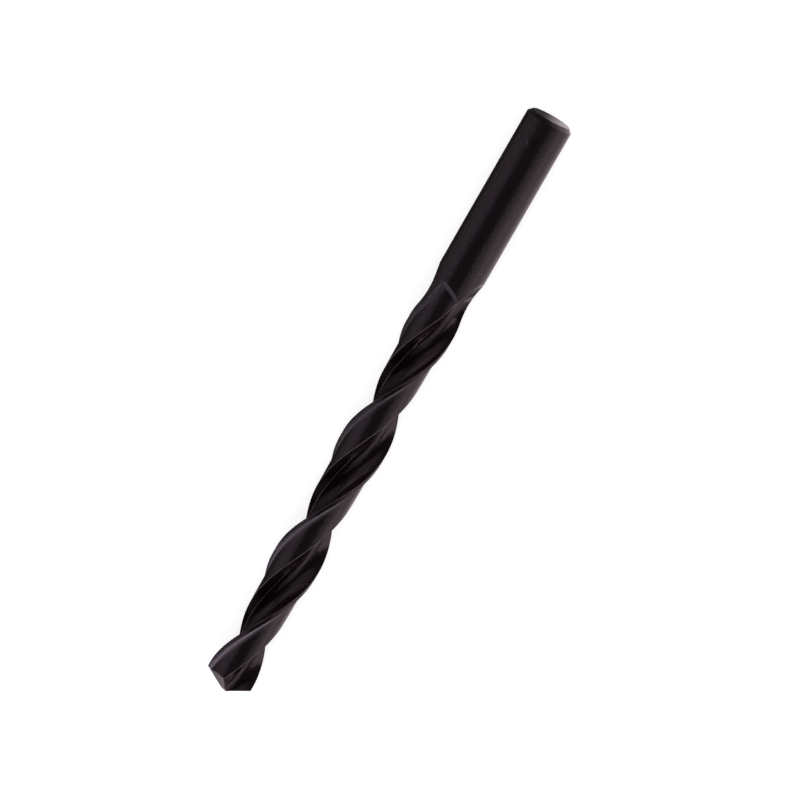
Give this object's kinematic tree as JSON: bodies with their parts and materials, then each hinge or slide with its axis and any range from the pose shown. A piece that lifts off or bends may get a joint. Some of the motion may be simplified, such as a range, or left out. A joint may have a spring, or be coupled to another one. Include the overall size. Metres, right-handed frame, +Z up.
{
  "type": "twist drill bit",
  "caption": "Straight-shank twist drill with right-hand spiral flutes, raised margins and a conical ground point, for drilling holes in metal.",
  "frame": {"origin": "centre of the shank's flat end face, on the drill's axis", "axes": "+X runs along the drill's axis from the point toward the shank's end, so the tip is at x = -0.127; +Z is up as the drill lies on its side"},
  "size_m": [0.127, 0.0096, 0.0096],
  "materials": {
    "black_oxide_steel": "satin black oxide on high-speed steel"
  },
  "bodies": {
    "root": {"twist_drill": "black_oxide_steel"}
  },
  "joints": []
}
